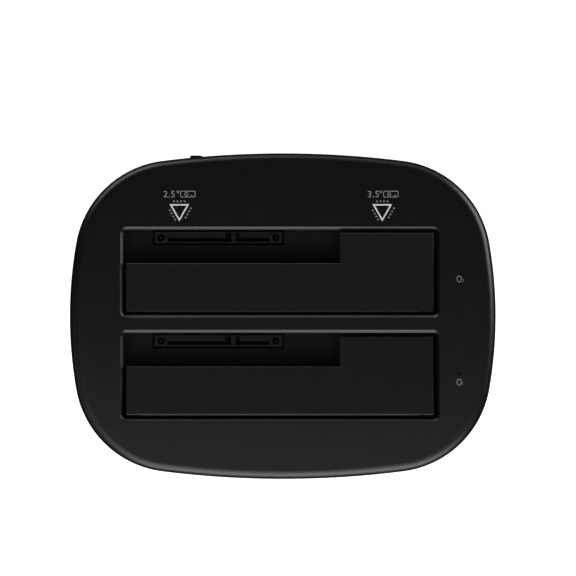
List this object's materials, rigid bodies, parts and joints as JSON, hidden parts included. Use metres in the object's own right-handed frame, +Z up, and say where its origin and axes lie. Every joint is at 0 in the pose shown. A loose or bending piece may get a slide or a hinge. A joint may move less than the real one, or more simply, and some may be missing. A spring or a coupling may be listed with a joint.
{
  "type": "hard drive docking station",
  "caption": "Rounded desktop docking station that holds bare hard drives upright in bays under sprung L-shaped flaps, with data and power sockets behind.",
  "frame": {"origin": "on the standing surface, under the middle of the body", "axes": "+X to the right, +Y to the rear where the sockets are, +Z up"},
  "size_m": [0.1404, 0.1072, 0.062],
  "materials": {
    "case_black": "fine-textured black ABS",
    "inner_black": "plain black ABS",
    "flap_black": "fine-textured black ABS",
    "steel": "bright steel",
    "spring_black": "black-oxide spring wire",
    "circuit_board": "green solder mask",
    "connector_black": "glass-filled nylon",
    "contact_gold": "gold plated",
    "plated_steel": "nickel plated",
    "insulator_blue": "moulded blue nylon",
    "switch_black": "satin black nylon",
    "chip_black": "moulded epoxy",
    "ferrite_grey": "sintered ferrite",
    "can_aluminium": "drawn can",
    "led_white": "clear epoxy on white",
    "light_guide_clear": "clear polycarbonate",
    "foot_rubber": "soft black rubber",
    "screw_black": "black zinc"
  },
  "bodies": {
    "dock": {"top_cover": "case_black", "base_cover": "case_black", "bay_frame": "inner_black", "rear_panel": "case_black", "rear_flap_pin": "steel", "front_flap_pin": "steel", "rear_flap_spring": "spring_black", "front_flap_spring": "spring_black", "main_board": "circuit_board", "rear_drive_socket": "connector_black", "front_drive_socket": "connector_black", "rear_drive_contacts": "contact_gold", "front_drive_contacts": "contact_gold", "usb_shell": "plated_steel", "usb_insulator": "insulator_blue", "usb_contacts": "contact_gold", "power_jack": "connector_black", "power_jack_pin": "plated_steel", "switch_body": "switch_black", "switch_terminals": "contact_gold", "bridge_chip": "chip_black", "flash_chip": "chip_black", "crystal": "plated_steel", "power_inductors": "ferrite_grey", "smoothing_capacitors": "can_aluminium", "status_leds": "led_white", "rear_light_guide": "light_guide_clear", "front_light_guide": "light_guide_clear", "rubber_feet": "foot_rubber", "case_screws": "screw_black", "board_screws": "steel", "frame_screws": "steel"},
    "rear_flap": {"rear_flap": "flap_black"},
    "front_flap": {"front_flap": "flap_black"},
    "rocker": {"switch_rocker": "switch_black"}
  },
  "joints": [
    {"name": "rear_flap_hinge", "type": "hinge", "parent": "dock", "child": "rear_flap", "pos_m": [0, -0.00235, 0.0562], "axis": [-1, 0, 0], "range_deg": [0, 90], "stiffness_Nm_per_rad": 0.004, "springref_deg": -28.65, "deforming": ["rear_flap_spring"]},
    {"name": "front_flap_hinge", "type": "hinge", "parent": "dock", "child": "front_flap", "pos_m": [0, -0.03635, 0.0562], "axis": [-1, 0, 0], "range_deg": [0, 90], "stiffness_Nm_per_rad": 0.004, "springref_deg": -28.65, "deforming": ["front_flap_spring"]},
    {"name": "power_switch_tilt", "type": "hinge", "parent": "dock", "child": "rocker", "pos_m": [-0.02575, 0.05005, 0.0158], "axis": [0, 0, 1], "range_deg": [0, 21]}
  ]
}
